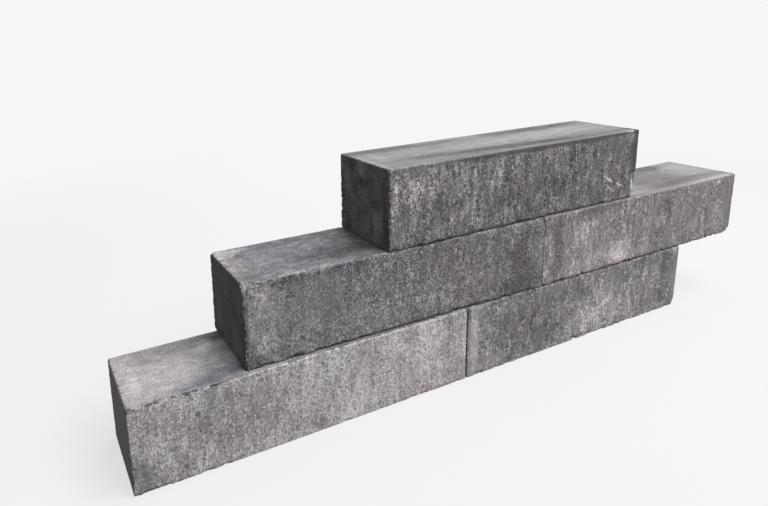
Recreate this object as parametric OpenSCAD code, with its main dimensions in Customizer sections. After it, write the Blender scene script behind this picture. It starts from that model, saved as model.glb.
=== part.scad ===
// Dry stack of five solid concrete wall blocks: two in the bottom course, two in the second
// course and one on top, each course stepped to the right of the one below.
// Millimetres, +Z up. The origin is on the ground, under the middle of the stack.

/* [Block] */
// Length of one block
block_l = 600; // [400:5:800]
// Depth of one block, front to back
block_d = 150; // [100:5:250]
// Height of one block
block_h = 138; // [80:1:220]

/* [Arrises] */
// Radius of the four upright arrises
upright_r = 2; // [1:0.5:15]
// Radius of the arrises round the top face
top_r = 3; // [1:0.5:12]
// Radius of the arrises round the underside
foot_r = 4; // [1:0.5:12]

/* [Courses] */
// Distance from the left end of the bottom course to the left end of the second course
second_course_start = 180; // [60:1:300]
// Distance from the left end of the second course to the left end of the top block
top_block_start = 254.5; // [60:0.5:350]
// Width of the open upright joint in the bottom course
bottom_joint = 1.5; // [0.5:0.5:20]
// Width of the open upright joint in the second course, where its blocks come closest
second_joint = 0.5; // [0.5:0.5:20]
// Angle by which the left block of the second course was set down askew, in degrees
askew_angle = 0.5; // [0:0.1:2]
// Distance by which the middle of that block lies behind the middle of the bottom course
askew_setback = 5; // [0:0.5:20]
// Distance by which the top block lies behind the bottom course
top_setback = 4; // [0:0.5:20]

/* [Knocked corners] */
// Corner broken off the bottom right block: its legs along the length, depth and height
bottom_right_knock = [10, 8, 19]; // [5:1:60]
// Upper corner worn off the left block of the second course, at the front of its free end
second_left_wear = [8, 20, 20]; // [5:1:60]
// Corner broken off the right block of the second course
second_right_knock = [17, 9, 15]; // [5:1:60]
// Front right arris broken off the top block: its legs along the length and depth, and its height
top_break = [13, 5, 52]; // [3:1:60]

/* [Hidden] */
$fn = 48;

no_knock = [];
no_break = [];
// Corners at which a knock can fall: which end, front or back, foot or top
right_foot = [1, -1, -1];
left_crown = [-1, -1, 1];
// Overshoot of a cut past the face that it opens
overcut = 1;

// Levels on which the courses lie
second_z = block_h;
top_z = 2 * block_h;

// Reach of the askew block to each side of its centre, along the stack and across it
askew_reach = block_l / 2 * cos(askew_angle) + block_d / 2 * sin(askew_angle);
askew_depth = block_d / 2 * cos(askew_angle) + block_l / 2 * sin(askew_angle);

// Centres of the blocks, measured from the left end of the bottom course
bottom_left_x = block_l / 2;
bottom_right_x = bottom_left_x + block_l + bottom_joint;
second_left_x = second_course_start + askew_reach;
second_right_x = second_left_x + askew_reach + second_joint + block_l / 2;
top_x = second_course_start + top_block_start + block_l / 2;

// Whole length of the stack, which sets its middle
stack_l = max(bottom_right_x, second_right_x, top_x) + block_l / 2;
middle_x = stack_l / 2;

// Front and back of the stack, measured from the middle of the bottom course
front_y = min(-block_d / 2, askew_setback - askew_depth, top_setback - block_d / 2);
back_y = max(block_d / 2, askew_setback + askew_depth, top_setback + block_d / 2);
middle_y = (front_y + back_y) / 2;

// Rectangle standing on the x axis, its upper and lower corners rounded by arcs
module rounded_section(width, height, upper_r, lower_r) {
    half = width / 2;
    polygon([
        [-half + lower_r, 0], [half - lower_r, 0],
        [half, lower_r], [half, height - upper_r],
        [half - upper_r, height], [-half + upper_r, height],
        [-half, height - upper_r], [-half, lower_r]
    ]);
    for (side = [-1, 1]) {
        translate([side * (half - lower_r), lower_r]) circle(lower_r);
        translate([side * (half - upper_r), height - upper_r]) circle(upper_r);
    }
}

// Half space beyond the plane that cuts the three given lengths off one corner
module knocked_corner(legs, corner) {
    outward = [corner[0] / legs[0], corner[1] / legs[1], corner[2] / legs[2]];
    depth = 1 / norm(outward);
    azimuth = atan2(outward[1], outward[0]);
    fall = acos(outward[2] / norm(outward));
    span = 4 * max(legs);
    translate([corner[0] * block_l / 2, corner[1] * block_d / 2, (1 + corner[2]) * block_h / 2])
        rotate([0, fall, azimuth])
            translate([-span / 2, -span / 2, -depth]) cube(span);
}

// Wedge that takes a length of the front right arris away, from the bed up to a ledge
module broken_arris(legs) {
    reach_l = legs[0] + overcut * (1 + legs[0] / legs[1]);
    reach_d = legs[1] + overcut * (1 + legs[1] / legs[0]);
    translate([block_l / 2 + overcut, -block_d / 2 - overcut, -overcut])
        linear_extrude(legs[2] + overcut)
            polygon([[0, 0], [0, reach_d], [-reach_l, 0]]);
}

// One pressed block on its bed: plan, cross section and long section share its arrises
module block(knock = no_knock, corner = right_foot, arris_break = no_break) {
    difference() {
        intersection() {
            translate([0, -block_d / 2, 0])
                linear_extrude(block_h) rounded_section(block_l, block_d, upright_r, upright_r);
            rotate([90, 0, 90])
                translate([0, 0, -block_l / 2])
                    linear_extrude(block_l) rounded_section(block_d, block_h, top_r, foot_r);
            rotate([90, 0, 0])
                translate([0, 0, -block_d / 2])
                    linear_extrude(block_d) rounded_section(block_l, block_h, top_r, foot_r);
        }
        if (knock != no_knock) knocked_corner(knock, corner);
        if (arris_break != no_break) broken_arris(arris_break);
    }
}

module bottom_left_block() {
    color("#93908f") translate([bottom_left_x - middle_x, -middle_y, 0]) block();
}

module bottom_right_block() {
    color("#83807f") translate([bottom_right_x - middle_x, -middle_y, 0]) block(bottom_right_knock);
}

module second_left_block() {
    color("#757375") translate([second_left_x - middle_x, askew_setback - middle_y, second_z])
        rotate([0, 0, -askew_angle]) block(second_left_wear, left_crown);
}

module second_right_block() {
    color("#86827f") translate([second_right_x - middle_x, -middle_y, second_z]) block(second_right_knock);
}

module top_block() {
    color("#726f70") translate([top_x - middle_x, top_setback - middle_y, top_z])
        block(arris_break = top_break);
}

bottom_left_block();
bottom_right_block();
second_left_block();
second_right_block();
top_block();
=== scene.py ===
import math

import bpy
from mathutils import Matrix, Vector


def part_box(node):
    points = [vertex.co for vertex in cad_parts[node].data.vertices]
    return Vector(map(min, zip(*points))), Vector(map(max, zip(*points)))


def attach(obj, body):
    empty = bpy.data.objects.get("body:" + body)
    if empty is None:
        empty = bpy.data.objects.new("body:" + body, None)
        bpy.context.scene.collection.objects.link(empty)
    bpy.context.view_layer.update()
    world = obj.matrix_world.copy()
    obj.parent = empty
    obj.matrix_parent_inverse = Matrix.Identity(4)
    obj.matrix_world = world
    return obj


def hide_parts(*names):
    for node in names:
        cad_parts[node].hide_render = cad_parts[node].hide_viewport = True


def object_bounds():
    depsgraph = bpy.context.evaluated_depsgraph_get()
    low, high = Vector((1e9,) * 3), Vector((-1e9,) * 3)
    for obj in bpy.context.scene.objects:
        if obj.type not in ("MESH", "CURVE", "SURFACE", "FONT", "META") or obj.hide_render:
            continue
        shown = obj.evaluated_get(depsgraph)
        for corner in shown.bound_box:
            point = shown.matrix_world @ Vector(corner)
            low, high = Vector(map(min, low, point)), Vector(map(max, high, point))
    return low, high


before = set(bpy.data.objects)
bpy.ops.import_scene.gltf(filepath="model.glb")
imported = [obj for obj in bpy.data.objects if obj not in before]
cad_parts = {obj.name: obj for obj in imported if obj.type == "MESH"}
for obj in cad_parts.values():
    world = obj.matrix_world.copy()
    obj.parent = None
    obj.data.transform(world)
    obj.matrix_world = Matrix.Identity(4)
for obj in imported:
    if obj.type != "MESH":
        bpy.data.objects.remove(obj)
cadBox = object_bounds()
print("frame: nodes", sorted(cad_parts))


# node helpers, used by the shape tree and by every material

class Wire:
    # a socket that can stand in a sum: each operator adds a Math node
    def __init__(self, board, socket):
        self.board = board
        self.socket = socket

    def __add__(self, other):
        return self.board.math("ADD", self, other)

    __radd__ = __add__

    def __sub__(self, other):
        return self.board.math("SUBTRACT", self, other)

    def __rsub__(self, other):
        return self.board.math("SUBTRACT", other, self)

    def __mul__(self, other):
        return self.board.math("MULTIPLY", self, other)

    __rmul__ = __mul__

    def __truediv__(self, other):
        return self.board.math("DIVIDE", self, other)

    def __rtruediv__(self, other):
        return self.board.math("DIVIDE", other, self)

    def __rpow__(self, other):
        return self.board.math("POWER", other, self)

    def __neg__(self):
        return self.board.math("MULTIPLY", self, -1.0)

    def __abs__(self):
        return self.board.math("ABSOLUTE", self)


class Board:
    # a node tree, with one method that adds any node
    def __init__(self, tree):
        self.tree = tree
        tree.nodes.clear()

    def add(self, nodeType, settings, sockets, give):
        node = self.tree.nodes.new(nodeType)
        for name, value in settings.items():
            setattr(node, name, value)
        for key, value in sockets.items():
            if isinstance(value, Wire):
                self.tree.links.new(value.socket, node.inputs[key])
            else:
                node.inputs[key].default_value = value
        if isinstance(give, tuple):
            return [Wire(self, node.outputs[name]) for name in give]
        return Wire(self, node.outputs[give]) if give is not None else node

    def math(self, operation, *values):
        return self.add("ShaderNodeMath", {"operation": operation}, dict(enumerate(values)), "Value")

    def vector(self, operation, *values):
        return self.add("ShaderNodeVectorMath", {"operation": operation}, dict(enumerate(values)), "Vector")

    def scaled(self, vector, factor):
        sockets = {0: vector, "Scale": factor}
        return self.add("ShaderNodeVectorMath", {"operation": "SCALE"}, sockets, "Vector")

    def smooth(self, value, low, high):
        sockets = {"Value": value, "From Min": low, "From Max": high}
        return self.add("ShaderNodeMapRange", {"interpolation_type": "SMOOTHSTEP"}, sockets, "Result")

    def split(self, vector):
        return self.add("ShaderNodeSeparateXYZ", {}, {0: vector}, ("X", "Y", "Z"))

    def join(self, x, y, z):
        return self.add("ShaderNodeCombineXYZ", {}, {"X": x, "Y": y, "Z": z}, "Vector")

    def spread(self, place, lump, seed):
        # lump is the size of one lump or grain along x, y and z, in millimetres
        frequency = tuple(1.0 / size for size in lump)
        apart = (13.7, 7.9, 5.3)    # how far the pattern of the next seed lies away
        return self.vector("MULTIPLY_ADD", place, frequency, tuple(seed * step for step in apart))

    def noise(self, place, lump, seed, detail=2.0, roughness=0.5, distortion=0.0):
        # soft lumps, swinging round 0
        sockets = {"Vector": self.spread(place, lump, seed), "Scale": 1.0, "Detail": detail,
                   "Roughness": roughness, "Distortion": distortion}
        return self.add("ShaderNodeTexNoise", {"noise_dimensions": "3D"}, sockets, "Fac") - 0.5

    def layer(self, place, recipe, seed=0):
        # noise by a recipe from one of the dictionaries of layers
        lump, ownSeed, *look = recipe
        return self.noise(place, lump, seed + ownSeed, *look)

    def grains(self, place, lump, seed):
        # sharp-edged grains, each with three values of its own from 0 to 1
        sockets = {"Vector": self.spread(place, lump, seed), "Scale": 1.0}
        return self.split(self.add("ShaderNodeTexVoronoi", {"voronoi_dimensions": "3D"}, sockets, "Color"))

    def mixColor(self, factor, first, second):
        return self.add("ShaderNodeMix", {"data_type": "RGBA"}, {0: factor, 6: first, 7: second}, 2)


# the five blocks: where they lie, how they are damaged and how their faces are marked
# lengths in millimetres, u from the middle to the right, v to the back, w up from the bed
# tones in stops: +1 is twice as pale; cool runs from warm grey below 0 to blue grey above it

def mark(a, b, halfA, halfB, tone, cool=0.0, calm=0.0, slant=0.0, dabs=False):
    # a soft patch on a face: its middle, half sizes, tone, tint, how far it hides the grain, its turn,
    # and whether it breaks up into dabs
    return {"middle": (a, b), "half": (halfA, halfB), "tone": tone, "cool": cool, "calm": calm,
            "slant": slant, "dabs": dabs}


askewTurn = math.radians(-0.5)
perMetre = 1000.0    # millimetres
blockLow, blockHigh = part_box("bottom_left_block")
blockSize = tuple(perMetre * side for side in blockHigh - blockLow)
halfLength, halfDepth, blockHeight = blockSize[0] / 2, blockSize[1] / 2, blockSize[2]

# a block with no turn, shift or break; each block below says where it differs
noCut = (0.01, 0.01, 0.01)
soundBlock = {
    "turn": 0.0, "rightShift": (0.0, 0.0, 0.0), "knock": noCut, "wear": noCut, "break": noCut,
    "grainDepth": 1.2, "cloud": 0.5, "endMarks": {},
}

# albedo and cool: the pressed sides; topTone, topCool and endToneAndShade: the top and the ends against
# them; endToneAndShade is partly painted shade on the ends
# grainDepth and streakDepth: relief from crest to hollow; footChip and crownChip: size of the chips
# leftEnd and rightEnd: radius of the upright arrises, size of their chips, leg of the rubbed corners
# rightShift: how far the front of the right end stands out along the block, and the end forward
# footNotch: place along the foot, half width and depth of one deeper bite
# knock, wear and break: legs of the cut at the right foot, the left crown and the right arris
# grit to streak: how strongly each kind of grain shows on the sides, up to the soft ceiling palest
# smear to mottle: the same for the struck top; endMottle: for the ends
# crest marks lie along the front crown, their second length from the front face over to the top
bottomLeft = {
    **soundBlock, "slot": "pale_concrete", "seed": 1.0, "albedo": 0.482, "cool": 0.35,
    "streakDepth": 0.4, "footChip": 0.35, "crownChip": 0.25,
    "leftEnd": (1.6, 0.5, 4.0), "rightEnd": (2.0, 0.35, 6.0),
    "footNotch": (-162.0, 7.0, 1.2),
    "grainSize": 1.6, "grit": 1.3, "ground": 2.5, "fleck": 0.4, "dash": 0.2, "pit": 0.95,
    "rimGrain": 0.7, "palest": 1.6, "uneven": 0.3, "clump": 1.55, "patch": 0.95, "streak": 1.35,
    "smear": 0.8, "sand": 3.1, "speck": 0.8, "mottle": 1.4,
    "topTone": -0.6, "topCool": 0.5, "endToneAndShade": -0.44, "endMottle": 0.6,
    "frontMarks": {
        "dark left runs": mark(-150, 82, 75, 55, -0.3),
        "dark upper left": mark(-165, 118, 24, 15, -0.2, 0.2),
        "dim left edge": mark(-290, 75, 14, 70, -0.2),
        "purplish lower corner": mark(-290, 22, 24, 44, -0.45, 0.3, 0.3),
        "pale lower middle": mark(62, 30, 46, 30, 0.45),
        "pale right half": mark(160, 70, 130, 85, 0.12),
        "pale right column": mark(212, 85, 24, 80, 0.25),
        "blue upper middle": mark(30, 112, 58, 28, 0.0, 0.12),
        "pale lower middle crest": mark(40, 40, 60, 40, 0.12),
        "dim right column": mark(258, 62, 18, 70, -0.22),
        "dim lower left": mark(-240, 28, 70, 34, -0.22),
        "pale upper right": mark(130, 110, 170, 34, 0.08),
        "pale lower right": mark(190, 17, 60, 13, 0.26),
        "joint corner": mark(300, 135, 6, 6, -1.5),
        "left foot nick": mark(-184, 3, 6, 4, -0.9),
        "right foot nick": mark(-155, 3, 5, 4, -0.9),
    },
    "topMarks": {
        "pale end": mark(-285, 12, 24, 85, 0.25),
        "pale front left": mark(-240, -12, 60, 42, 0.26, -0.15),
        "grey back band": mark(-205, 58, 110, 22, -0.35),
        # painted light: paler tone beside the next course's end, against the shade that course casts
        "painted light beside the next course": mark(-146, 28, 26, 26, 0.95),
        "grey back smear": mark(-240, 28, 30, 12, -0.25),
        "pale middle": mark(-192, -6, 34, 20, 0.22),
        "dark streak": mark(-168, -9, 17, 2.2, -0.55, 0.2, 0.0, 4.0),
        "front dark streak": mark(-156, -37, 26, 3, -0.4, 0.2, 0.0, -14.0),
        "blue grey front": mark(-151, -54, 50, 19, -0.75, 0.5),
        "blue grey front left": mark(-196, -60, 52, 9, -0.5, 0.5),
        "dim front edge": mark(-215, -70, 95, 9, -0.3),
        # painted light: paler tone along the contact with the next course, against the shade it casts
        "painted light by the contact": mark(-119, 8, 17, 74, 0.95),
        # painted light with a blue-grey tint, in front of the next course's end where it shades the top
        "painted light and blue tint by the contact": mark(-140, -14, 26, 34, 0.35, 0.3),
        # painted shade in the back corner beside the next course's end
        "painted shade in the back corner": mark(-127, 55, 16, 12, -0.4),
        "shade under the next course": mark(140, -71, 190, 7, -0.7),
        "first rim nick": mark(-297, 30, 5, 2.4, -1.0),
        "rim line": mark(-289, 1, 7, 1.6, -0.6),
        "second rim nick": mark(-298, -10, 4, 2.6, -0.8),
        "third rim nick": mark(-297, -30, 4, 2.4, -0.7),
        "rim pit": mark(-299, -62, 3, 3, -1.0),
    },
    "crestMarks": {
        "vertex pit": mark(-297, 0, 6, 5, -1.5),
        "second vertex pit": mark(-290, -3, 4, 3, -1.2),
        "first dash": mark(-266, 0.5, 10, 2.8, -1.6),
        "grey dash": mark(-255, 2, 7, 4, -0.8),
        "second dash": mark(-233, 0.5, 6, 3, -2.0),
        "small dot": mark(-224, 0.5, 3, 2.4, -0.9),
        "dark dot": mark(-215, 0.5, 5, 4, -2.4),
        "third dash": mark(-202, 0.5, 7, 2.4, -2.2),
        "fourth dash": mark(-191, 0.5, 4, 2.0, -1.5),
        "fifth dash": mark(-177, 0.5, 5, 2.4, -1.8),
        "sixth dash": mark(-166, 0.5, 6, 2.8, -2.2),
        "seventh dash": mark(-155, 0.5, 4, 2.0, -1.6),
        "eighth dash": mark(-147, 0.5, 10, 2.4, -1.0),
        "joint line dashes": mark(60, 1, 190, 3, -0.8, dabs=True),
    },
    "endMarks": {
        "dark lower front": mark(-60, 24, 26, 40, -0.35),
    },
}

bottomRight = {
    **soundBlock, "slot": "mid_concrete", "seed": 2.0, "albedo": 0.28, "cool": 0.4,
    "streakDepth": 0.5, "footChip": 0.42, "crownChip": 0.5,
    "leftEnd": (2.2, 0.4, 9.0), "rightEnd": (2.0, 0.03, 3.0),
    "footNotch": (-18.0, 8.0, 5.0),
    "knock": (10.0, 8.0, 19.0),
    "grainSize": 2.2, "grit": 1.15, "ground": 2.05, "fleck": 1.05, "dash": 0.9, "pit": 0.9,
    "rimGrain": 0.8, "palest": 1.6, "uneven": 0.8, "clump": 1.95, "patch": 0.65, "streak": 0.9,
    "smear": 0.6, "sand": 2.2, "speck": 0.4, "mottle": 0.9,
    "topTone": -0.3, "topCool": 0.6, "endToneAndShade": -0.5, "endMottle": 0.8,
    "frontMarks": {
        "pale left edge": mark(-286, 68, 12, 80, 0.95, 0.0, 0.4),
        "dark left half": mark(-170, 78, 105, 70, -0.32),
        "pale lower left": mark(-250, 25, 50, 28, 0.38),
        "pale left middle": mark(-262, 78, 26, 26, 0.22),
        "dark low left": mark(-172, 22, 28, 18, -0.28),
        "pale foot right": mark(215, 14, 30, 11, 0.28),
        "blue dark core": mark(-108, 38, 54, 42, -0.38, 0.1),
        "pale spot by the core": mark(-120, 68, 26, 13, 0.5),
        "low pale spot": mark(-136, 12, 7, 7, 0.5),
        "pale column": mark(-62, 75, 9, 28, 0.25),
        "pale middle": mark(58, 42, 112, 48, 0.68),
        "pale middle crest": mark(8, 80, 16, 12, 0.25),
        "dark upper middle": mark(-28, 108, 46, 30, -0.5),
        "dark low pit": mark(75, 22, 5, 5, -0.8),
        "dark pit": mark(120, 42, 7, 5, -0.5),
        "dark right pit": mark(230, 64, 8, 10, -0.35),
        "dark right crown": mark(258, 124, 20, 14, -0.35),
        "dark right": mark(262, 75, 28, 75, -0.3),
        "dark upper right": mark(180, 112, 120, 28, -0.22),
        "pale right dash": mark(240, 110, 5, 13, 0.4),
        "smooth right edge": mark(293, 70, 10, 78, 0.0, 0.0, 0.85),
        "dark crown rim": mark(-195, 135, 80, 5, -0.5),
        "notch at the foot": mark(-18, 4, 8, 6, -1.4),
        "joint corner": mark(-300, 135, 6, 6, -1.5),
    },
    "topMarks": {
        "shade under the next course": mark(0, -71, 330, 7, -0.7),
    },
    "crestMarks": {
        "joint line dashes": mark(0, 1, 330, 3, -0.8, dabs=True),
    },
}

secondLeft = {
    **soundBlock, "slot": "dark_concrete", "seed": 3.0, "turn": askewTurn, "albedo": 0.214, "cool": 0.45,
    "streakDepth": 0.4, "footChip": 0.8, "crownChip": 0.5,
    "leftEnd": (2.0, 1.2, 10.0), "rightEnd": (0.8, 0.06, 5.0),
    "rightShift": (1.7, 2.2, 0.0), "footNotch": (-262.0, 12.0, 3.0),
    "wear": (12.0, 15.0, 18.0),
    "grainSize": 1.7, "grit": 1.75, "ground": 2.6, "fleck": 1.25, "dash": 0.7, "pit": 0.95,
    "rimGrain": 0.8, "palest": 1.75, "uneven": 0.5, "clump": 1.7, "patch": 0.7, "streak": 0.65,
    "smear": 0.6, "sand": 6.2, "speck": 1.2, "mottle": 3.0,
    "topTone": -0.52, "topCool": 0.95, "endToneAndShade": -0.52, "endMottle": 2.2,
    "frontMarks": {
        "pale left": mark(-262, 74, 32, 70, 0.62),
        "finer left half": mark(-215, 70, 120, 95, 0.04, 0.0, 0.2),
        "dark left arris": mark(-297, 70, 5, 75, -0.3),
        "pale lower half": mark(-90, 34, 190, 34, 0.22),
        "blue dark crown left": mark(-220, 127, 32, 12, -0.45, 0.5),
        "blue dark crown middle": mark(-125, 128, 42, 12, -0.45, 0.5),
        "pale spot": mark(-139, 93, 13, 14, 0.4, 0.0, 0.5),
        "dark left hollow": mark(-185, 35, 14, 12, -0.3),
        "slanted pale dash": mark(99, 95, 5, 19, 0.4, slant=-14.0),
        "upright pale dash": mark(165, 105, 5, 16, 0.4),
        "pale dash by the joint": mark(224, 104, 11, 14, 0.35),
        "joint notch": mark(299, 134, 4, 8, -1.8),
        "dark right": mark(243, 62, 44, 44, -0.65, -0.15),
        "dark right foot": mark(250, 20, 60, 24, -0.65),
        "pale middle column": mark(72, 72, 22, 75, 0.26),
        "pale left crown": mark(-264, 120, 34, 13, 0.28),
        "dim left middle": mark(-270, 68, 18, 16, -0.3),
        "pale left run": mark(-208, 74, 34, 20, 0.22),
        "dark right crown": mark(270, 118, 20, 13, -0.35),
        "dim upper right": mark(110, 105, 200, 42, -0.22),
        "dark pit": mark(179, 27, 8, 8, -0.55),
        "second dark pit": mark(209, 25, 8, 8, -0.4),
        "pale right edge": mark(295, 70, 5, 75, 0.3, 0.0, 0.4),
        "dark lower corner": mark(-284, 8, 24, 13, -0.6, 0.1),
        "crown pits": mark(-190, 132, 110, 7, -1.1, dabs=True),
        "joint shade": mark(0, 1.5, 330, 4.5, -1.1, 0.0, 0.5),
        "foot bites": mark(-225, 4, 70, 6, -1.2, dabs=True),
        "warm right half": mark(190, 80, 140, 90, 0.0, -0.2),
    },
    "topMarks": {
        "pale end": mark(-285, 25, 26, 75, 0.35, -0.4),
        "pale end rim": mark(-294, 0, 8, 85, 0.4, -0.2),
        "pale back corner": mark(-280, 56, 24, 24, 0.7, -0.2),
        "dark smudge": mark(-262, 34, 13, 9, -0.7),
        "pale blotch": mark(-252, 60, 18, 10, 0.6, -0.2),
        "pale ring": mark(-242, 6, 30, 42, 0.2, -0.1),
        "dim front corner": mark(-276, -48, 20, 16, -0.25),
        "dim back": mark(-178, 56, 76, 20, -0.25),
        "pale back spot": mark(-78, 58, 18, 15, 0.45),
        "dim middle": mark(-178, -16, 38, 36, -0.2),
        "blue pool": mark(-116, -28, 70, 32, -1.1, 0.3),
        "shade under the top block": mark(140, -71, 170, 7, -0.7),
        "pale front edge": mark(-155, -67, 26, 9, 0.55, -0.2),
        "pale front edge left": mark(-215, -68, 40, 8, 0.15, -0.2),
    },
    "crestMarks": {
        "first dash": mark(-273, -1, 6, 2.4, -1.2),
        "dark dot": mark(-256, -1, 3.5, 2.8, -1.6),
        "second dash": mark(-226, -1, 13, 2.6, -1.3),
        "third dash": mark(-190, -1, 12, 2.6, -1.0, dabs=True),
        "pale rim": mark(-258, 4, 34, 3, 0.5),
    },
    "endMarks": {
        "pale upper smear": mark(5, 112, 30, 22, 0.22),
        "dark middle": mark(-14, 76, 38, 24, -0.22),
        "dark front band": mark(-67, 60, 9, 85, -0.35),
        "dark run": mark(-14, 58, 6, 40, -0.35),
        "pale back run": mark(42, 60, 18, 70, 0.25),
        "pale front run": mark(-32, 45, 10, 45, 0.3),
    },
}

secondRight = {
    **soundBlock, "slot": "mid_concrete", "seed": 4.0, "albedo": 0.28, "cool": 0.2,
    "streakDepth": 0.5, "footChip": 0.75, "crownChip": 0.08,
    "leftEnd": (0.6, 0.06, 2.0), "rightEnd": (2.0, 0.03, 3.0),
    "footNotch": (227.0, 9.0, 3.0),
    "knock": (17.0, 9.0, 15.0),
    "grainSize": 2.3, "grit": 1.0, "ground": 2.1, "fleck": 1.05, "dash": 1.1, "pit": 1.1,
    "rimGrain": 0.1, "palest": 1.6, "uneven": 0.8, "clump": 1.8, "patch": 0.8, "streak": 1.0,
    "smear": 0.9, "sand": 1.8, "speck": 0.3, "mottle": 0.8,
    "topTone": -0.16, "topCool": 0.6, "endToneAndShade": -0.3, "endMottle": 0.8,
    "frontMarks": {
        "pale left edge": mark(-285, 70, 9, 85, 0.2),
        "dark left run": mark(-262, 75, 15, 90, -0.5),
        "dark upper run": mark(-232, 100, 12, 50, -0.2),
        "dark lower run": mark(-268, 22, 15, 36, -0.2),
        "pale bloom": mark(-192, 86, 46, 34, 0.35, -0.1),
        "pale bloom edge": mark(-216, 72, 12, 18, 0.25),
        "pale lower left": mark(-175, 22, 85, 28, 0.45, -0.1),
        "lower pale spot": mark(-108, 53, 6.5, 7, 0.8, 0.0, 0.5),
        "upper pale spot": mark(-104, 74, 5.5, 6, 0.7, 0.0, 0.5),
        "small pale spot": mark(-108, 108, 5, 5, 0.5),
        "pale foot": mark(-82, 26, 40, 32, 0.95),
        "dim upper right": mark(90, 108, 240, 34, -0.2),
        "dim low middle": mark(48, 30, 45, 36, -0.3),
        "dim low right": mark(150, 25, 50, 34, -0.15),
        "pale low right": mark(255, 30, 40, 34, 0.15),
        "joint shade": mark(-65, 1.5, 240, 4.5, -1.1, 0.0, 0.5),
        "pale foot core": mark(-80, 12, 15, 11, 0.3),
        "pale low middle": mark(0, 17, 44, 13, 0.32),
        "dim upper left": mark(-196, 121, 46, 12, -0.28),
        "dark crown rim": mark(-145, 132, 75, 8, -0.55, 0.0, 0.4),
        "dark column": mark(68, 103, 14, 42, -0.4),
        "dark pit left": mark(-45, 98, 6, 5, -0.6),
        "dark pit right": mark(204, 70, 7, 6, -0.6),
        "dark low hollow": mark(130, 18, 10, 9, -0.35),
        "slanted pale dash": mark(30, 68, 5, 14, 0.45, slant=24.0),
        "pale dash": mark(0, 74, 6, 10, 0.4),
        "upright pale dash": mark(195, 105, 4, 16, 0.4),
        "smooth pale square": mark(161, 44, 21, 16, 0.5, 0.0, 0.9),
        "smooth crown": mark(150, 136, 165, 4, 0.1, 0.0, 0.9),
        "dim right edge": mark(286, 72, 18, 82, -0.12, 0.0, 0.85),
        "dark right arris": mark(299, 92, 6, 56, -0.7, 0.0, 0.5),
    },
    "topMarks": {
        "dark back smear": mark(185, 56, 42, 21, -1.0),
        "dim left": mark(102, 0, 102, 150, -0.66, -0.1),
        "dark streak": mark(212, -38, 20, 5, -0.5),
        "second dark streak": mark(140, -18, 22, 5, -0.4),
        "shade under the top block": mark(-150, -71, 205, 7, -0.7),
        "dark right front corner": mark(295, -62, 12, 18, -0.5),
        "dim front edge": mark(170, -48, 170, 15, -0.45, -0.2),
        "pale front rim": mark(170, -70, 180, 7, 0.3),
        "pale back": mark(250, 22, 44, 28, 0.2),
    },
    "crestMarks": {
        # painted highlight along the front crown
        "pale rim": mark(155, 3.5, 165, 4, 0.3),
    },
}

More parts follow.
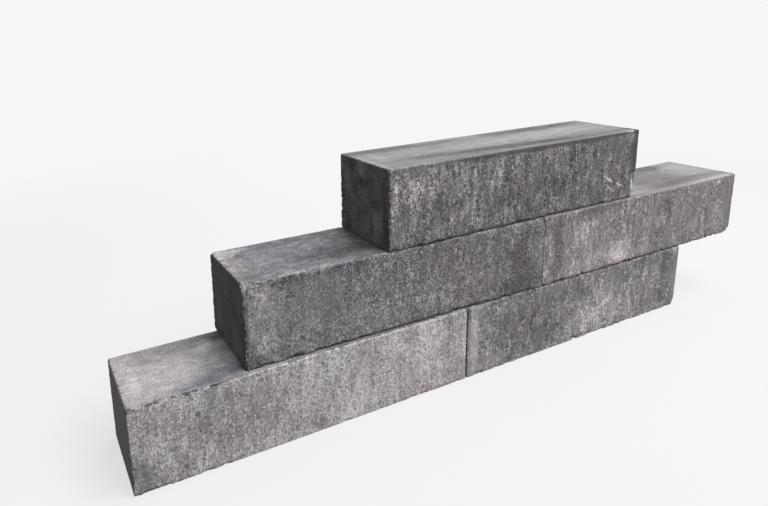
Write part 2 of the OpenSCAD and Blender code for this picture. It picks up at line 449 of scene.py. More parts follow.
topmost = {
    **soundBlock, "slot": "dark_concrete", "seed": 5.0, "albedo": 0.202, "cool": 0.35,
    "grainDepth": 1.32, "streakDepth": 0.5, "footChip": 0.45, "crownChip": 0.25,
    "leftEnd": (1.6, 1.4, 8.0), "rightEnd": (2.0, 0.1, 3.0),
    "footNotch": (60.0, 8.0, 2.0),
    "break": (17.0, 3.5, 52.0),
    "grainSize": 1.9, "grit": 2.0, "ground": 3.3, "fleck": 1.0, "dash": 1.0, "pit": 1.1,
    "rimGrain": 0.2, "palest": 1.65, "uneven": 0.7, "clump": 3.3, "patch": 1.15, "streak": 1.05,
    "smear": 1.3, "sand": 1.6, "speck": 0.3, "mottle": 0.9,
    "topTone": -0.02, "topCool": 0.6, "endToneAndShade": 0.3, "endMottle": 3.0,
    "frontMarks": {
        "pale left edge": mark(-291, 78, 11, 72, 0.5, 0.2),
        "pale upper left": mark(-255, 105, 55, 42, 0.3),
        "pale warm bloom": mark(-226, 98, 30, 30, 0.3, -0.25),
        "dark left pit": mark(-246, 78, 9, 8, -0.45),
        "dark spot": mark(-134, 93, 9, 8, -0.55),
        "dark spot below": mark(-158, 64, 7, 7, -0.45),
        "dark low hollow": mark(-72, 48, 10, 12, -0.35),
        "dark middle spot": mark(-58, 76, 8, 7, -0.4),
        "dark spot right": mark(50, 87, 8, 7, -0.45),
        "pale run": mark(-124, 55, 6, 42, 0.4, slant=-6.0),
        "pale upper middle": mark(26, 103, 26, 28, 0.45),
        "pale lower left": mark(-168, 48, 26, 36, 0.36),
        "pale right dab": mark(121, 44, 20, 13, 0.35),
        "pale middle spot": mark(-22, 66, 20, 14, 0.28),
        "dim left crown": mark(-170, 119, 22, 11, -0.3),
        "pale left crown": mark(-121, 114, 20, 15, 0.28),
        "pale low run": mark(85, 28, 8, 22, 0.35),
        "second pale low run": mark(20, 26, 9, 20, 0.3),
        "thin pale run": mark(135, 100, 3.5, 24, 0.5),
        "pale dab": mark(134, 61, 6, 9, 0.4),
        "dark middle": mark(30, 58, 100, 60, -0.2),
        "dark right middle": mark(112, 80, 34, 38, -0.25),
        "dark upper right": mark(235, 118, 62, 24, -0.3, 0.1, 0.3),
        "pale dab right": mark(280, 70, 9, 10, 0.4),
        "dark far right": mark(165, 100, 90, 40, -0.2),
        "dark low right": mark(205, 32, 90, 34, -0.36),
        "upper scratch": mark(220, 47, 17, 2.4, 2.2, 0.0, 0.7, -33.0),
        "upper scratch end": mark(250, 33, 17, 2.4, 2.1, 0.0, 0.7, -24.0),
        "lower scratch": mark(224, 29, 18, 2.4, 2.0, 0.0, 0.7, -33.0),
        "dark crown rim": mark(60, 135, 340, 7, -1.0, 0.0, 0.7),
        "dark right band": mark(294, 90, 16, 60, -1.0, 0.1, 0.9),
        # painted shade: the shaded edge of the end beside the broken arris
        "painted shade beside the break": mark(299, 36, 5, 14, -3.2),
        "dark lower middle": mark(20, 45, 150, 44, -0.2),
        # painted shade along the foot, over the course below
        "painted shade along the foot": mark(0, 2.0, 340, 6, -0.4),
        "joint shade": mark(0, 1.5, 340, 4.0, -0.5, 0.0, 0.5),
    },
    "topMarks": {
        "pale middle": mark(40, 8, 330, 32, 0.22),
        "pale right middle": mark(135, 2, 175, 28, 0.3),
        "dark back left": mark(-250, 56, 112, 18, -0.95),
        "dark back": mark(-110, 50, 75, 13, -0.5),
        "dark back right": mark(130, 54, 135, 17, -0.95),
        "pale back gap": mark(-8, 60, 14, 14, 0.25),
        "dim back right corner": mark(230, 54, 54, 15, -0.5),
        "pale left column": mark(-262, 8, 14, 34, 0.3),
        # painted highlight along the arris between the top and the left end
        "pale left rim": mark(-296, -25, 6, 60, 0.5),
        "dark front band": mark(-40, -44, 190, 15, -1.2, slant=-2.5),
        "dark front right": mark(150, -56, 175, 15, -0.46),
        "dim front edge": mark(20, -64, 330, 13, -0.25),
        "dark front left": mark(-200, -30, 85, 15, -0.48),
        "pale right front": mark(238, -26, 36, 12, 0.22),
        "dark front right corner": mark(297, -64, 15, 18, -1.4),
    },
    "crestMarks": {
        # painted highlight on the crown corner beside the break
        "painted highlight on the corner arc": mark(275, 1, 12, 3, 1.7),
        "pale left rim": mark(-250, 2, 50, 3, 0.4),
    },
    "endMarks": {
        "pale crest": mark(5, 121, 30, 10, 0.4),
        "pale heart": mark(-6, 70, 14, 26, 0.4),
        "pale grains": mark(-44, 42, 15, 20, 0.5),
        "dark crest": mark(2, 99, 15, 9, -0.9),
        "dark back hollow": mark(24, 80, 8, 16, -0.6),
        "dark front hollow": mark(-36, 68, 11, 18, -0.7),
        "dark low run": mark(-23, 27, 8, 18, -0.6),
        "dark front foot": mark(-64, 12, 15, 16, -0.6),
        "dark back foot": mark(54, 20, 16, 20, -0.5),
        "dark back line": mark(36, 98, 3, 42, -0.5),
        "dark front band": mark(-65, 60, 11, 85, -0.4),
    },
}

blocks = {
    "bottom_left_block": bottomLeft,
    "bottom_right_block": bottomRight,
    "second_left_block": secondLeft,
    "second_right_block": secondRight,
    "top_block": topmost,
}

blockShape = {
    "topRadius": 3.0, "footRadius": 2.2,
    "edgeBand": 10.0, "edgeCells": 9,    # strip along each arris with a finer mesh
    "faceCell": 2.4,    # mesh cell in the middle of the faces
    "seedStep": (91.0, 57.0, 33.0),    # how far the relief of the next block lies away
    "sunk": 0.2, "proud": 0.35,    # how far the relief lies inside the face, and grains stand out
    "pitDepth": 0.9, "waveDepth": 0.8,
    "bedGrain": 0.3,    # share of the grain on tops and beds
    "chipRoot": 14.0,    # depth of the line towards which chips bite
    "biteDepth": 3.4, "uprightBite": 0.7,
    "nickDepth": 1.6, "uprightNick": 2.0,
    "spareUnder": 0.85,    # how far chips are spared underneath and at the back
    "spareRearCrown": 0.65, "spareRear": 0.3,
    "footRub": 0.5, "rubSwing": 1.5,    # corners are rubbed less at the foot
    "leanFrom": 60.0,    # u from which the right end leans
    "ledgeSwing": 4.0, "ledgeRise": 1.2,
    "breakFoot": 0.8,    # share of the break's legs at the bed
}

# lump sizes along u, v and w, seed and detail of the relief
reliefLayers = {
    "grain": ((6.5, 6.5, 7.5), 1, 2.0),
    "streak": ((6.0, 6.0, 42.0), 2, 1.0),
    "pits": ((6.5, 6.5, 7.5), 3, 1.0),
    "waves": ((90.0, 60.0, 60.0), 4, 1.0),
    "bites": ((19.0, 19.0, 15.0), 5, 2.0),
    "nicks": ((6.5, 6.5, 6.5), 6, 1.0),
    "ragged": ((7.0, 7.0, 7.0), 7, 2.0),
    "rub": ((160.0, 90.0, 90.0), 9, 0.0),
}

# where each kind of relief begins to show, and where it shows fully
reliefSteps = {
    "sideFace": (0.3, 2.5),    # distance from the top and the bed
    "under": (1.0, 13.0),    # distance from the front and the back
    "foot": (5.0, 16.0), "breakFull": (0.0, 45.0),    # height over the bed
    "crown": (4.0, 14.0),    # depth below the top
    "rear": (-20.0, 20.0),    # v
    "pits": (0.14, 0.22), "bites": (0.03, 0.14), "nicks": (0.02, 0.14),    # levels of the noise
    "biteReach": (0.0, 7.0), "nickReach": (0.5, 4.5), "notchReach": (0.0, 6.0),    # from the arris
    "notchWidth": (0.2, 1.0),    # shares of the notch's half width
}

rightFoot = (1.0, -1.0, -1.0)
leftCrown = (-1.0, -1.0, 1.0)


def cellCounts():
    band, cell = blockShape["edgeBand"], blockShape["faceCell"]
    return [round((side - 2 * band) / cell) + 2 * blockShape["edgeCells"] for side in blockSize]


def spreadAlong(board, share, half, cells):
    # even cells in the middle of a side, finer ones along its two ends
    band = blockShape["edgeBand"]
    inner = 1.0 - 2.0 * blockShape["edgeCells"] / cells
    distance = abs(share)
    middle = board.math("MINIMUM", distance / inner, 1.0) * (half - band)
    edge = board.math("MAXIMUM", distance - inner, 0.0) * (band / (1.0 - inner))
    return board.math("SIGN", share) * (middle + edge)


def roundArris(board, a, b, halfA, halfB, radius):
    # bends the square corner of two axes into an arc
    offZero = 1e-6
    overA = board.math("MAXIMUM", abs(a) - (halfA - radius), 0.0)
    overB = board.math("MAXIMUM", abs(b) - (halfB - radius), 0.0)
    reach = board.math("SQRT", overA * overA + overB * overB)
    shrink = board.math("MAXIMUM", overA, overB) / board.math("MAXIMUM", reach, offZero)
    roundA = board.math("MINIMUM", abs(a), halfA - radius) + overA * shrink
    roundB = board.math("MINIMUM", abs(b), halfB - radius) + overB * shrink
    return board.math("SIGN", a) * roundA, board.math("SIGN", b) * roundB


def cutCorner(board, point, halves, legs, corner, ragged):
    # pushes what lies beyond the plane through three legs of a corner back on to that plane
    level, steep = ragged * -1.0, 0.0
    for along, half, leg, sign in zip(point, halves, legs, corner):
        level = level + (half - along * sign) / leg
        steep = 1.0 / (leg * leg) + steep
    step = board.math("MAXIMUM", 1.0 - level, 0.0) / steep
    return [along - step * sign / leg for along, leg, sign in zip(point, legs, corner)], step


def endValues(board, given, x):
    # arris radius, chip size and corner leg of the end on this side of the middle
    right = board.math("GREATER_THAN", x, 0.0)
    change = board.vector("SUBTRACT", given["Right End"], given["Left End"])
    return board.split(board.vector("ADD", given["Left End"], board.scaled(change, right)))


# sockets of the shape tree, and the setting of a block that each one takes
blockInputs = {
    "Turn": ("Float", "turn"), "Seed": ("Float", "seed"),
    "Grain Depth": ("Float", "grainDepth"), "Streak Depth": ("Float", "streakDepth"),
    "Foot Chip": ("Float", "footChip"), "Crown Chip": ("Float", "crownChip"),
    "Left End": ("Vector", "leftEnd"), "Right End": ("Vector", "rightEnd"),
    "Right Shift": ("Vector", "rightShift"), "Foot Notch": ("Vector", "footNotch"),
    "Knock": ("Vector", "knock"), "Wear": ("Vector", "wear"), "Break": ("Vector", "break"),
}


def buildBlockTree():
    tree = bpy.data.node_groups.new("concreteBlock", "GeometryNodeTree")
    board = Board(tree)
    kinds = {"Centre": "Vector", "Material": "Material"}
    kinds.update({name: kind for name, (kind, setting) in blockInputs.items()})
    inputs = {}
    for name, kind in kinds.items():
        socket = tree.interface.new_socket(name=name, in_out="INPUT", socket_type="NodeSocket" + kind)
        inputs[name] = socket.identifier
    tree.interface.new_socket(name="Geometry", in_out="OUTPUT", socket_type="NodeSocketGeometry")
    given = dict(zip(inputs, board.add("NodeGroupInput", {}, {}, tuple(inputs))))

    # a grid on all six faces, finer along the arrises
    cells = cellCounts()
    grid = board.add("GeometryNodeMeshCube", {}, {
        "Size": (2.0, 2.0, 2.0), "Vertices X": cells[0] + 1,
        "Vertices Y": cells[1] + 1, "Vertices Z": cells[2] + 1}, "Mesh")
    share = board.split(board.add("GeometryNodeInputPosition", {}, {}, "Position"))
    halves = (halfLength, halfDepth, blockHeight / 2)
    x, y, z = (spreadAlong(board, s, h, c) for s, h, c in zip(share, halves, cells))

    # the arrises: uprights first, then the top and foot arrises of the long and short faces
    uprightRadius = endValues(board, given, x)[0]
    upper = board.math("GREATER_THAN", z, 0.0)
    bedRadius = blockShape["footRadius"] + upper * (blockShape["topRadius"] - blockShape["footRadius"])
    x, y = roundArris(board, x, y, halves[0], halves[1], uprightRadius)
    y, z = roundArris(board, y, z, halves[1], halves[2], bedRadius)
    x, z = roundArris(board, x, z, halves[0], halves[2], bedRadius)
    rounded = board.add("GeometryNodeSetPosition", {}, {
        "Geometry": grid, "Position": board.join(x, y, z)}, "Geometry")

    # relief: every point bites towards a smaller box inside the block
    place = board.add("GeometryNodeInputPosition", {}, {}, "Position")
    spot = board.vector("ADD", place, board.scaled(blockShape["seedStep"], given["Seed"]))
    lumps = {kind: board.layer(spot, recipe) for kind, recipe in reliefLayers.items()}
    x, y, z = board.split(place)
    inner = tuple(h - blockShape["chipRoot"] for h in halves)
    core = board.vector("MINIMUM", board.vector("MAXIMUM", place, tuple(-i for i in inner)), inner)
    inward = board.vector("NORMALIZE", board.vector("SUBTRACT", core, place))
    toEnd, toFront, toBed = (h - abs(c) for h, c in zip(halves, (x, y, z)))
    sideFace = board.smooth(toBed, *reliefSteps["sideFace"])
    pits = board.smooth(lumps["pits"], *reliefSteps["pits"])
    sideDepth = given["Grain Depth"] * lumps["grain"] + given["Streak Depth"] * lumps["streak"]
    sideDepth = sideDepth + pits * blockShape["pitDepth"] + lumps["waves"] * blockShape["waveDepth"]
    sideDepth = board.math("MAXIMUM", sideDepth + blockShape["sunk"], -blockShape["proud"])
    depth = sideFace * sideDepth + (1.0 - sideFace) * abs(lumps["grain"]) * blockShape["bedGrain"]

    # chips along the arrises: wide bites and close small nicks
    nearest = board.math("MINIMUM", toEnd, toFront)
    second = board.math("MAXIMUM", toEnd, toFront)
    toArris = board.math("MAXIMUM", nearest, board.math("MINIMUM", second, toBed))
    foot = 1.0 - board.smooth(z + halves[2], *reliefSteps["foot"])
    crown = 1.0 - board.smooth(halves[2] - z, *reliefSteps["crown"])
    between = 1.0 - foot - crown
    rear = board.smooth(y, *reliefSteps["rear"])
    under = board.smooth(toFront, *reliefSteps["under"])
    unused, uprightChip, leg = endValues(board, given, x)
    chipSize = given["Foot Chip"] * foot * (1.0 - under * blockShape["spareUnder"])
    chipSize = chipSize + given["Crown Chip"] * crown * (1.0 - rear * blockShape["spareRearCrown"])
    chipSize = chipSize + uprightChip * between * (1.0 - rear * blockShape["spareRear"])
    bite = board.smooth(lumps["bites"], *reliefSteps["bites"])
    bite = bite * (1.0 - board.smooth(toArris, *reliefSteps["biteReach"]))
    nick = board.smooth(lumps["nicks"], *reliefSteps["nicks"])
    nick = nick * (1.0 - board.smooth(toArris, *reliefSteps["nickReach"]))
    biteDepth = blockShape["biteDepth"] + between * (blockShape["uprightBite"] - blockShape["biteDepth"])
    nickDepth = blockShape["nickDepth"] + between * (blockShape["uprightNick"] - blockShape["nickDepth"])
    chipped = chipSize * (bite * biteDepth + nick * nickDepth)
    notchAt, notchHalf, notchDepth = board.split(given["Foot Notch"])
    notch = 1.0 - board.smooth(abs(x - notchAt) / notchHalf, *reliefSteps["notchWidth"])
    notch = notch * (1.0 - board.smooth(toArris, *reliefSteps["notchReach"])) * foot * (1.0 - rear)
    chipped = chipped + notch * notchDepth
    bitten = board.vector("ADD", place, board.scaled(inward, depth + chipped))

    # all eight corners rubbed, one knocked off at the foot, one worn at the crown
    point = board.split(bitten)
    ragged = lumps["ragged"]
    signs = tuple(board.math("SIGN", along) for along in point)
    atCrown = 0.5 + signs[2] * 0.5
    leg = leg * (blockShape["footRub"] + atCrown * (1.0 - blockShape["footRub"]))
    leg = leg * (1.0 - rear * blockShape["spareRear"]) * (1.0 + lumps["rub"] * blockShape["rubSwing"])
    for legs, corner, swing in (((leg, leg, leg), signs, 0.4), (board.split(given["Knock"]), rightFoot, 0.5),
                                (board.split(given["Wear"]), leftCrown, 0.4)):
        point, worn = cutCorner(board, point, halves, legs, corner, ragged * swing)

    # a right end that isn't quite square and stands forward
    x, y, z = point
    shiftAlong, shiftForward, unused = board.split(given["Right Shift"])
    atRight = board.smooth(x, blockShape["leanFrom"], halves[0])
    x = x + shiftAlong * atRight * (0.5 - y / (2.0 * halves[1]))
    y = y - shiftForward * atRight
    z = z + halves[2]

    # the right arris broken away below a ledge
    breakX, breakY, breakHeight = board.split(given["Break"])
    ledge = breakHeight - 1.0 + ragged * blockShape["ledgeSwing"]
    below = 1.0 - board.smooth(z, ledge, ledge + blockShape["ledgeRise"])
    level = (halves[0] - x) / breakX + (y + halves[1]) / breakY
    full = board.smooth(z, *reliefSteps["breakFull"])
    reach = blockShape["breakFoot"] + (1.0 - blockShape["breakFoot"]) * full + ragged * 0.4
    short = board.math("MAXIMUM", reach - level, 0.0) * below
    step = short / (1.0 / (breakX * breakX) + 1.0 / (breakY * breakY))
    x = x - step / breakX
    y = y + step / breakY

    # what the material needs to know of the damage, from 0 to 1: chip, for painted shade in the chips at
    # foot and crown, and fresh breaks
    noted = rounded
    for name, amount in (("chip_shade", chipped * (foot + crown) * 0.5), ("fresh", short * 4.0 + worn * 0.08)):
        noted = board.add("GeometryNodeStoreNamedAttribute", {"data_type": "FLOAT", "domain": "POINT"}, {
            "Geometry": noted, "Name": name, "Value": board.math("MINIMUM", amount, 1.0)}, "Geometry")

    # into the stack, in metres
    flat = board.scaled(board.join(x, y, z), 1.0 / perMetre)
    turned = board.add("ShaderNodeVectorRotate", {"rotation_type": "Z_AXIS"}, {
        "Vector": flat, "Angle": given["Turn"]}, "Vector")
    placed = board.add("GeometryNodeSetPosition", {}, {
        "Geometry": noted, "Position": board.vector("ADD", turned, given["Centre"])}, "Geometry")
    smoothed = board.add("GeometryNodeSetShadeSmooth", {}, {"Geometry": placed}, "Geometry")
    whole = board.add("GeometryNodeRealizeInstances", {}, {"Geometry": smoothed}, "Geometry")
    dressed = board.add("GeometryNodeSetMaterial", {}, {
        "Geometry": whole, "Material": given["Material"]}, "Geometry")
    board.add("NodeGroupOutput", {}, {"Geometry": dressed}, None)
    return tree, inputs


# the finish: lump sizes along u, v and w, seed, detail, roughness and distortion of each layer
finishLayers = {
    "cloud": ((70.0, 60.0, 50.0), 1, 2.0),
    "wobble": ((22.0, 22.0, 22.0), 2, 2.0),
    "gather": ((15.0, 15.0, 34.0), 5, 1.0),
    "streak": ((9.0, 9.0, 100.0), 8, 2.0, 0.55, 0.4),
    "clump": ((11.0, 11.0, 28.0), 9, 2.0),
    "smear": ((85.0, 16.0, 20.0), 10, 3.0, 0.6, 0.6),
    "sand": ((1.9, 1.9, 1.9), 11, 2.0),
    "mottle": ((14.0, 10.0, 10.0), 12, 3.0, 0.6),
    "endSmear": ((18.0, 18.0, 80.0), 13, 2.0),
    "dash": ((5.0, 5.0, 17.0), 14, 1.0),
    "patch": ((32.0, 32.0, 60.0), 15, 1.0),
    "dabs": ((16.0, 9.0, 9.0), 16, 1.0),
    "endPatch": ((34.0, 34.0, 46.0), 17, 2.0),
    "nibble": ((3.6, 3.6, 3.6), 18, 1.0),
}
layersPerBlock = 20      # seeds that each block keeps for itself

# where each part of the finish begins to show, and where it shows fully
finishSteps = {
    "top": (0.7, 0.95), "end": (0.6, 0.85), "front": (0.3, 0.7),    # parts of the normal
    "mark": (0.35, 1.25),    # shares of a mark's half sizes
    "dabs": (0.0, 0.09), "gather": (-0.12, 0.16), "dash": (0.06, 0.2),    # levels of the noise
    "fleck": (0.88, 0.96), "pit": (0.9, 0.97),    # values of single grains
    "rim": (2.0, 11.0),    # distance from the front face
    "crown": (14.0, 24.0),    # distance from the front crown
}

finish = {
    "grainStretch": (1.0, 1.0, 1.2), "groundStretch": (2.1, 2.1, 3.2),    # in grain sizes
    "edgeSwing": 0.9, "crestSwing": 2.2,    # uneven edges of the marks
    "grainKnee": 1.6,    # how softly the grain meets its ceiling
    "whitest": 0.9,    # albedo that nothing passes
    "warmGrey": (1.1, 1.0, 0.985), "blueGrey": (1.025, 1.0, 1.1),
    "bumpStrength": 0.6, "bumpDepth": 0.0008,
    "roughness": 0.9, "topRoughness": 0.84, "specular": 0.25,
}


def markShare(board, a, b, wobble, dabs, spot):
    # how strongly a soft-edged mark shows at a point of its face
    offA, offB = a - spot["middle"][0], b - spot["middle"][1]
    if spot["slant"]:
        cosine, sine = math.cos(math.radians(spot["slant"])), math.sin(math.radians(spot["slant"]))
        offA, offB = offA * cosine + offB * sine, offB * cosine - offA * sine
    offA, offB = offA / spot["half"][0], offB / spot["half"][1]
    away = board.math("SQRT", offA * offA + offB * offB) + wobble
    share = 1.0 - board.smooth(away, *finishSteps["mark"])
    return share * dabs if spot["dabs"] else share


def concreteFinish(name, look, centre):
    material = bpy.data.materials.new(name)
    material.use_nodes = True
    board = Board(material.node_tree)
    objectPlace = board.add("ShaderNodeTexCoord", {}, {}, "Object")
    place = board.add("ShaderNodeMapping", {"vector_type": "TEXTURE"}, {
        "Vector": objectPlace, "Location": centre, "Rotation": (0.0, 0.0, look["turn"]),
        "Scale": (1.0 / perMetre,) * 3}, "Vector")
    u, v, w = board.split(place)
    facing = board.split(board.add("ShaderNodeNewGeometry", {}, {}, "Normal"))
    top = board.smooth(facing[2], *finishSteps["top"])
    end = board.smooth(abs(facing[0]), *finishSteps["end"])
    front = board.smooth(-facing[1], *finishSteps["front"])
    seed = look["seed"] * layersPerBlock
    lumps = {kind: board.layer(place, recipe, seed) for kind, recipe in finishLayers.items()}
    cloud, mottle = lumps["cloud"], lumps["mottle"]
    wobble = lumps["wobble"] * finish["edgeSwing"]
    dabs = board.smooth(lumps["dabs"], *finishSteps["dabs"])

    # the pressed sides: a mottled ground with pale grains, dark pits and faint upright runs
    grainLump, groundLump = (tuple(look["grainSize"] * share for share in finish[stretch])
                             for stretch in ("grainStretch", "groundStretch"))
    tint, pale, dark = board.grains(place, grainLump, seed + 3)
    grit = tint - 0.5
    ground = board.noise(place, groundLump, seed + 4)
    gather = board.smooth(lumps["gather"], *finishSteps["gather"])
    busy = 1.0 + (gather - 0.5) * look["uneven"]
    fleck = board.smooth(pale, *finishSteps["fleck"]) * busy
    dash = board.smooth(lumps["dash"], *finishSteps["dash"]) * gather
    pit = board.smooth(dark, *finishSteps["pit"])
    grain = (grit * look["grit"] + ground * look["ground"]) * busy
    grain = grain + fleck * look["fleck"] + dash * look["dash"]
    grain = grain + lumps["clump"] * look["clump"] + lumps["streak"] * look["streak"]
    grain = board.math("SMOOTH_MIN", grain, look["palest"], finish["grainKnee"]) - pit * look["pit"]
    sideTone = cloud * look["cloud"] + lumps["patch"] * look["patch"]
    sideCool = cloud * 0.7 + look["cool"]
    calm = 0.0
    for spot in look["frontMarks"].values():
        there = markShare(board, u, w, wobble, dabs, spot) * front
        sideTone = sideTone + there * spot["tone"]
        sideCool = sideCool + there * spot["cool"]
        calm = calm + there * spot["calm"]
    sideTone = sideTone + grain * (1.0 - board.math("MINIMUM", calm, 0.85))

    # the smoother struck tops, smeared along the block, with the grain of the front along the rim
    topTone = lumps["smear"] * look["smear"] + lumps["sand"] * look["sand"] + mottle * look["mottle"]
    topTone = topTone + cloud * 0.4 + (fleck * 0.3 - pit) * look["speck"] + look["topTone"]
    topCool = cloud + look["topCool"]
    for spot in look["topMarks"].values():
        there = markShare(board, u, v, wobble, dabs, spot)
        topTone = topTone + there * spot["tone"]
        topCool = topCool + there * spot["cool"]
    rim = 1.0 - board.smooth(v + halfDepth, *finishSteps["rim"])
    topTone = topTone + grain * rim * look["rimGrain"]

    # the ends are smoother, with faint upright smears
    endGrain = lumps["endPatch"] + mottle * 0.4 + grit * 0.28 + ground * 0.35 + fleck * 0.15
    # the ends' tone is partly painted shade on the ends
    endToneAndShade = lumps["endSmear"] + endGrain * look["endMottle"] + mottle * 0.6 + look["endToneAndShade"]
    for spot in look["endMarks"].values():
        endToneAndShade = endToneAndShade + markShare(board, v, w, wobble, dabs, spot) * spot["tone"]

    # all three together, with the marks along the crest, painted shade in the chips and the paler fresh
    # breaks
    tone = (sideTone * (1.0 - end) + endToneAndShade * end) * (1.0 - top) + topTone * top
    crest = w + v + (halfDepth - blockHeight)
    nearCrown = 1.0 - board.smooth(v - w + (halfDepth + blockHeight), *finishSteps["crown"])
    nibble = wobble + lumps["nibble"] * finish["crestSwing"]
    for spot in look["crestMarks"].values():
        tone = tone + markShare(board, u, crest, nibble, dabs, spot) * nearCrown * spot["tone"]
    chip_shade, fresh = (board.add("ShaderNodeAttribute", {"attribute_name": kind}, {}, "Fac")
                   for kind in ("chip_shade", "fresh"))
    ceiling = math.log2(finish["whitest"] / look["albedo"])
    # chip darkens the chipped foot and crown as painted shade; fresh makes the fresh breaks paler
    tone = board.math("SMOOTH_MIN", tone - chip_shade * 0.7 + fresh * 1.15, ceiling, 0.5)
    cool = (sideCool + end * 0.5) * (1.0 - top) + topCool * top
    warmGrey, blueGrey = (tuple(look["albedo"] * part for part in finish[shade])
                          for shade in ("warmGrey", "blueGrey"))
    base = board.mixColor(cool, (*warmGrey, 1.0), (*blueGrey, 1.0))
    colour = board.scaled(base, 2.0 ** tone)

    # fine bump under the modelled relief
    height = (grit * 0.2 + ground * 0.9 + fleck * 0.1 - pit * 0.2) * (1.0 - top * 0.75)
    bump = board.add("ShaderNodeBump", {}, {
        "Strength": finish["bumpStrength"], "Distance": finish["bumpDepth"], "Height": height}, "Normal")
    rough = finish["roughness"] + top * (finish["topRoughness"] - finish["roughness"]) + grit * 0.15
    shader = board.add("ShaderNodeBsdfPrincipled", {}, {
        "Base Color": colour, "Roughness": rough, "Specular IOR Level": finish["specular"],
        "Normal": bump}, "BSDF")
    board.add("ShaderNodeOutputMaterial", {}, {"Surface": shader}, None)
    return material


def buildBlocks():
    tree, inputs = buildBlockTree()
    for node, look in blocks.items():
        low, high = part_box(node)
        centre = Vector(((low.x + high.x) / 2, (low.y + high.y) / 2, low.z))
        material = concreteFinish(node.replace("_block", "_concrete"), look, centre)
        blank = bpy.data.meshes.new(node + "_mesh")
        holder = bpy.data.objects.new(node.replace("_block", "_pressed_block"), blank)
        bpy.context.scene.collection.objects.link(holder)
        modifier = holder.modifiers.new("concreteBlock", "NODES")
        modifier.node_group = tree
        values = {name: look[setting] for name, (kind, setting) in blockInputs.items()}
        values.update({"Centre": centre, "Material": material})
        for name, value in values.items():
            modifier[inputs[name]] = value
        evaluated = holder.evaluated_get(bpy.context.evaluated_depsgraph_get())
        mesh = bpy.data.meshes.new_from_object(evaluated)
        holder.modifiers.clear()
        holder.data = mesh
        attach(holder, "root")
        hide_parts(node)
        print("block:", holder.name, len(mesh.polygons), "faces")


# camera, floor and light

photoView = {
    "width": 768, "height": 506,
    "position": (-0.78241, -0.81214, 0.63664),
    "heading": math.radians(24.914), "dip": math.radians(12.367), "roll": math.radians(-2.194),
    "focal": 586.73,                 # in pixels of the picture
    "principal": (282.52, 156.93),   # where the viewing axis meets the picture
    "sensor": 36.0,
    "clip": (0.01, 200.0),
}

studio = {
    "background": (0.939, 0.913, 0.939),
    "ambient": 0.108,
    "floorAlbedo": 0.08,             # what the floor throws back on the blocks
    "floorPale": 0.683,
    "floorSize": 40.0,
    "shadowShare": 0.24,             # how much of the lit floor shows by the stack
    "fade": (0.9, 2.5),              # distances over which the floor turns into the background
}

lamps = {
    "keyLamp": {"from": (0.30, -0.52, 0.80), "distance": 4.0, "size": 3.2, "level": 1.2},
    "overheadLamp": {"from": (0.15, 0.10, 1.0), "distance": 3.2, "size": 2.6, "level": 0.42},
    "backLamp": {"from": (0.30, 0.85, 0.45), "distance": 2.6, "size": 1.2, "level": 0.3},
}


def addCamera():
    data = bpy.data.cameras.new("photoCamera")
    camera = bpy.data.objects.new("photoCamera", data)
    bpy.context.scene.collection.objects.link(camera)
    width, height = photoView["width"], photoView["height"]
    data.sensor_fit = "HORIZONTAL"
    data.sensor_width = photoView["sensor"]
    data.lens = photoView["focal"] * photoView["sensor"] / width
    data.shift_x = (width / 2 - photoView["principal"][0]) / width
    data.shift_y = (photoView["principal"][1] - height / 2) / width
    data.clip_start, data.clip_end = photoView["clip"]
    turn = Matrix.Rotation(-photoView["heading"], 4, "Z")
    turn = turn @ Matrix.Rotation(math.pi / 2 - photoView["dip"], 4, "X")
    turn = turn @ Matrix.Rotation(photoView["roll"], 4, "Z")
    camera.matrix_world = Matrix.Translation(photoView["position"]) @ turn
    bpy.context.scene.camera = camera


def addLamp(name, lamp):
    # level is how pale a white card facing the lamp would look
    data = bpy.data.lights.new(name, "AREA")
    data.shape = "DISK"
    data.size = lamp["size"]
    data.energy = lamp["level"] * math.pi ** 2 * lamp["distance"] ** 2
    holder = bpy.data.objects.new(name, data)
    bpy.context.scene.collection.objects.link(holder)
    aim = (cadBox[0] + cadBox[1]) / 2
    away = Vector(lamp["from"]).normalized()
    holder.location = aim + away * lamp["distance"]
    holder.rotation_euler = away.to_track_quat("Z", "Y").to_euler()


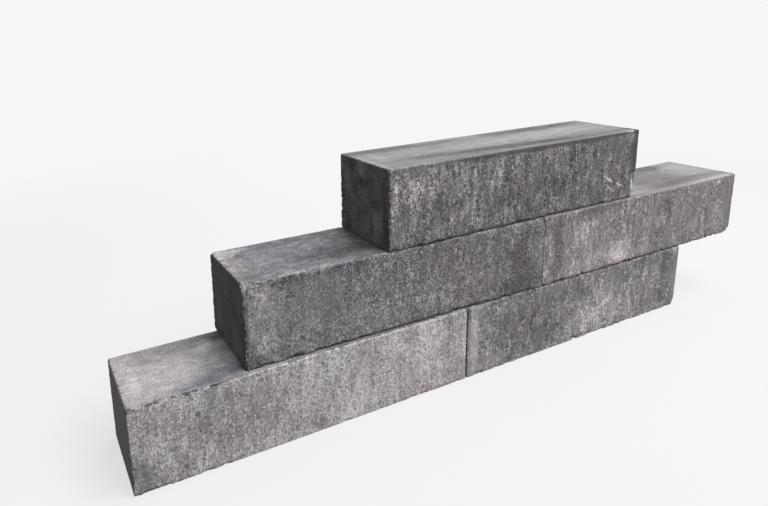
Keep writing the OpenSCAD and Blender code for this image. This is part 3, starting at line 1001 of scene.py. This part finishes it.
def seenDirectly(board):
    camera, glossy, clear = board.add("ShaderNodeLightPath", {}, {}, (
        "Is Camera Ray", "Is Glossy Ray", "Is Transmission Ray"))
    return board.math("MINIMUM", camera + glossy + clear, 1.0)


def addWorld():
    world = bpy.data.worlds.new("studioWorld")
    bpy.context.scene.world = world
    world.use_nodes = True
    board = Board(world.node_tree)
    ambient = (studio["ambient"],) * 3
    colour = board.mixColor(seenDirectly(board), (*ambient, 1.0), (*studio["background"], 1.0))
    shown = board.add("ShaderNodeBackground", {}, {"Color": colour}, "Background")
    board.add("ShaderNodeOutputWorld", {}, {"Surface": shown}, None)


def addFloor():
    half = studio["floorSize"] / 2
    mesh = bpy.data.meshes.new("studioFloor")
    corners = [(-half, -half, 0.0), (half, -half, 0.0), (half, half, 0.0), (-half, half, 0.0)]
    mesh.from_pydata(corners, [], [(0, 1, 2, 3)])
    floor = bpy.data.objects.new("studioFloor", mesh)
    bpy.context.scene.collection.objects.link(floor)
    material = bpy.data.materials.new("paleFloor")
    material.use_nodes = True
    board = Board(material.node_tree)
    place = board.add("ShaderNodeTexCoord", {}, {}, "Object")
    away = board.add("ShaderNodeVectorMath", {"operation": "LENGTH"}, {0: place}, "Value")
    seen = seenDirectly(board)
    pale, albedo = (studio["floorPale"],) * 3, (studio["floorAlbedo"],) * 3
    colour = board.mixColor(seen, (*albedo, 1.0), (*pale, 1.0))
    card = board.add("ShaderNodeBsdfDiffuse", {}, {"Color": colour}, "BSDF")
    glow = board.add("ShaderNodeEmission", {}, {
        "Color": (*studio["background"], 1.0), "Strength": 1.0}, "Emission")
    # the lit card, which keeps the shadow, fades into the white background away from the stack
    share = 1.0 - studio["shadowShare"] * (1.0 - board.smooth(away, *studio["fade"]))
    shown = board.add("ShaderNodeMixShader", {}, {0: seen * share, 1: card, 2: glow}, "Shader")
    board.add("ShaderNodeOutputMaterial", {}, {"Surface": shown}, None)
    mesh.materials.append(material)


buildBlocks()
addCamera()
for lampName, lampSettings in lamps.items():
    addLamp(lampName, lampSettings)
addWorld()
addFloor()
bpy.context.scene.view_settings.view_transform = "Standard"
print("studio: camera, three lamps, world and floor")
